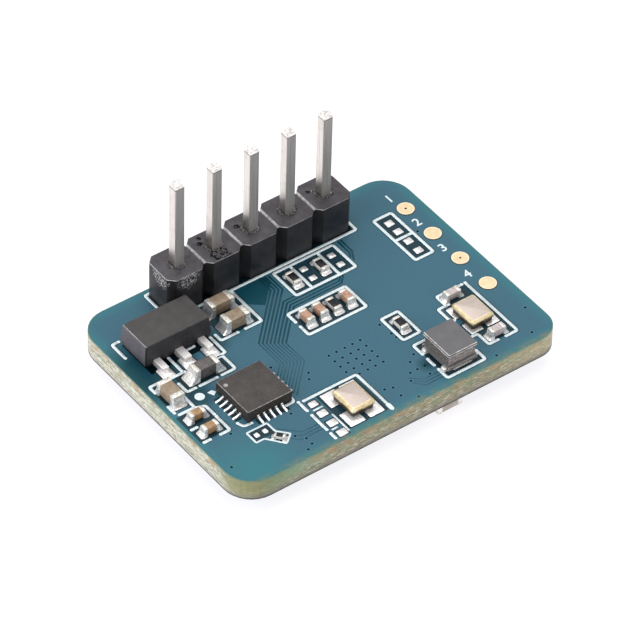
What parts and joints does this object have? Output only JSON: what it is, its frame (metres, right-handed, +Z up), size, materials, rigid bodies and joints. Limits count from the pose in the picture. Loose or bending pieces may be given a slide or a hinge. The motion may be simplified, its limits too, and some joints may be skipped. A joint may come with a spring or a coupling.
{
  "type": "microwave radar sensor module",
  "caption": "Small radar presence sensor board: teal circuit board with a row of upright header pins, surface-mounted parts, round test pads and etched patch antennas.",
  "frame": {"origin": "under the middle of the board, level with the tips of the header pins' tails, which are the lowest points", "axes": "+X along the board's long side with the test pads at its right end, +Y towards the long edge with the header, +Z up out of the populated face along the pins"},
  "size_m": [0.022, 0.016, 0.0112],
  "materials": {
    "laminate": "teal solder mask over glass-epoxy laminate, satin",
    "moulding": "dark epoxy moulding, matt",
    "base_ceramic": "dark co-fired ceramic",
    "lid_metal": "plated lid with a golden rim",
    "pale_ceramic": "pinkish pale ceramic with tinned ends",
    "tan_ceramic": "tan ceramic with tinned ends",
    "brown_ceramic": "orange-brown ceramic with tinned ends",
    "dark_ceramic": "black glaze with tinned ends",
    "header_plastic": "black glass-filled plastic, satin",
    "pin_brass": "square wire plated with bright tin",
    "tinned_copper": "matt tin over copper",
    "ferrite": "grey ferrite, matt",
    "winding": "resin-coated winding",
    "masked_copper": "copper foil under teal solder mask",
    "solder": "bright solder",
    "gold": "gilded copper"
  },
  "bodies": {
    "root": {"board": "laminate", "controller": "moulding", "controller_crystal_base": "base_ceramic", "controller_crystal_lid": "lid_metal", "crystal_capacitor_1": "pale_ceramic", "crystal_capacitor_2": "pale_ceramic", "decoupling_capacitor_1": "brown_ceramic", "decoupling_capacitor_2": "brown_ceramic", "edge_capacitor": "tan_ceramic", "feedback_resistor": "dark_ceramic", "ferrite_bead": "dark_ceramic", "filter_capacitor_1": "brown_ceramic", "filter_capacitor_2": "brown_ceramic", "filter_capacitor_3": "brown_ceramic", "filter_resistor": "dark_ceramic", "header_insulator": "header_plastic", "header_pin_1": "pin_brass", "header_pin_2": "pin_brass", "header_pin_3": "pin_brass", "header_pin_4": "pin_brass", "header_pin_5": "pin_brass", "header_resistor_1": "dark_ceramic", "header_resistor_2": "dark_ceramic", "light_sensor": "pale_ceramic", "power_inductor_back_terminal": "tinned_copper", "power_inductor_core": "ferrite", "power_inductor_front_terminal": "tinned_copper", "power_inductor_winding": "winding", "radar_capacitor_1": "brown_ceramic", "radar_capacitor_2": "brown_ceramic", "radar_capacitor_3": "brown_ceramic", "radar_capacitor_4": "brown_ceramic", "radar_chip": "moulding", "radar_crystal_base": "base_ceramic", "radar_crystal_lid": "lid_metal", "radar_resistor_1": "dark_ceramic", "radar_resistor_2": "dark_ceramic", "receiving_antenna": "masked_copper", "regulator_body": "moulding", "regulator_capacitor_1": "tan_ceramic", "regulator_capacitor_2": "tan_ceramic", "regulator_input_lead": "tinned_copper", "regulator_output_lead": "tinned_copper", "regulator_tab": "tinned_copper", "solder_joint_1": "solder", "solder_joint_2": "solder", "solder_joint_3": "solder", "solder_joint_4": "solder", "solder_joint_5": "solder", "test_pad_1": "gold", "test_pad_2": "gold", "test_pad_3": "gold", "test_pad_4": "gold", "tiny_resistor": "dark_ceramic", "transmitting_antenna": "masked_copper"}
  },
  "joints": []
}
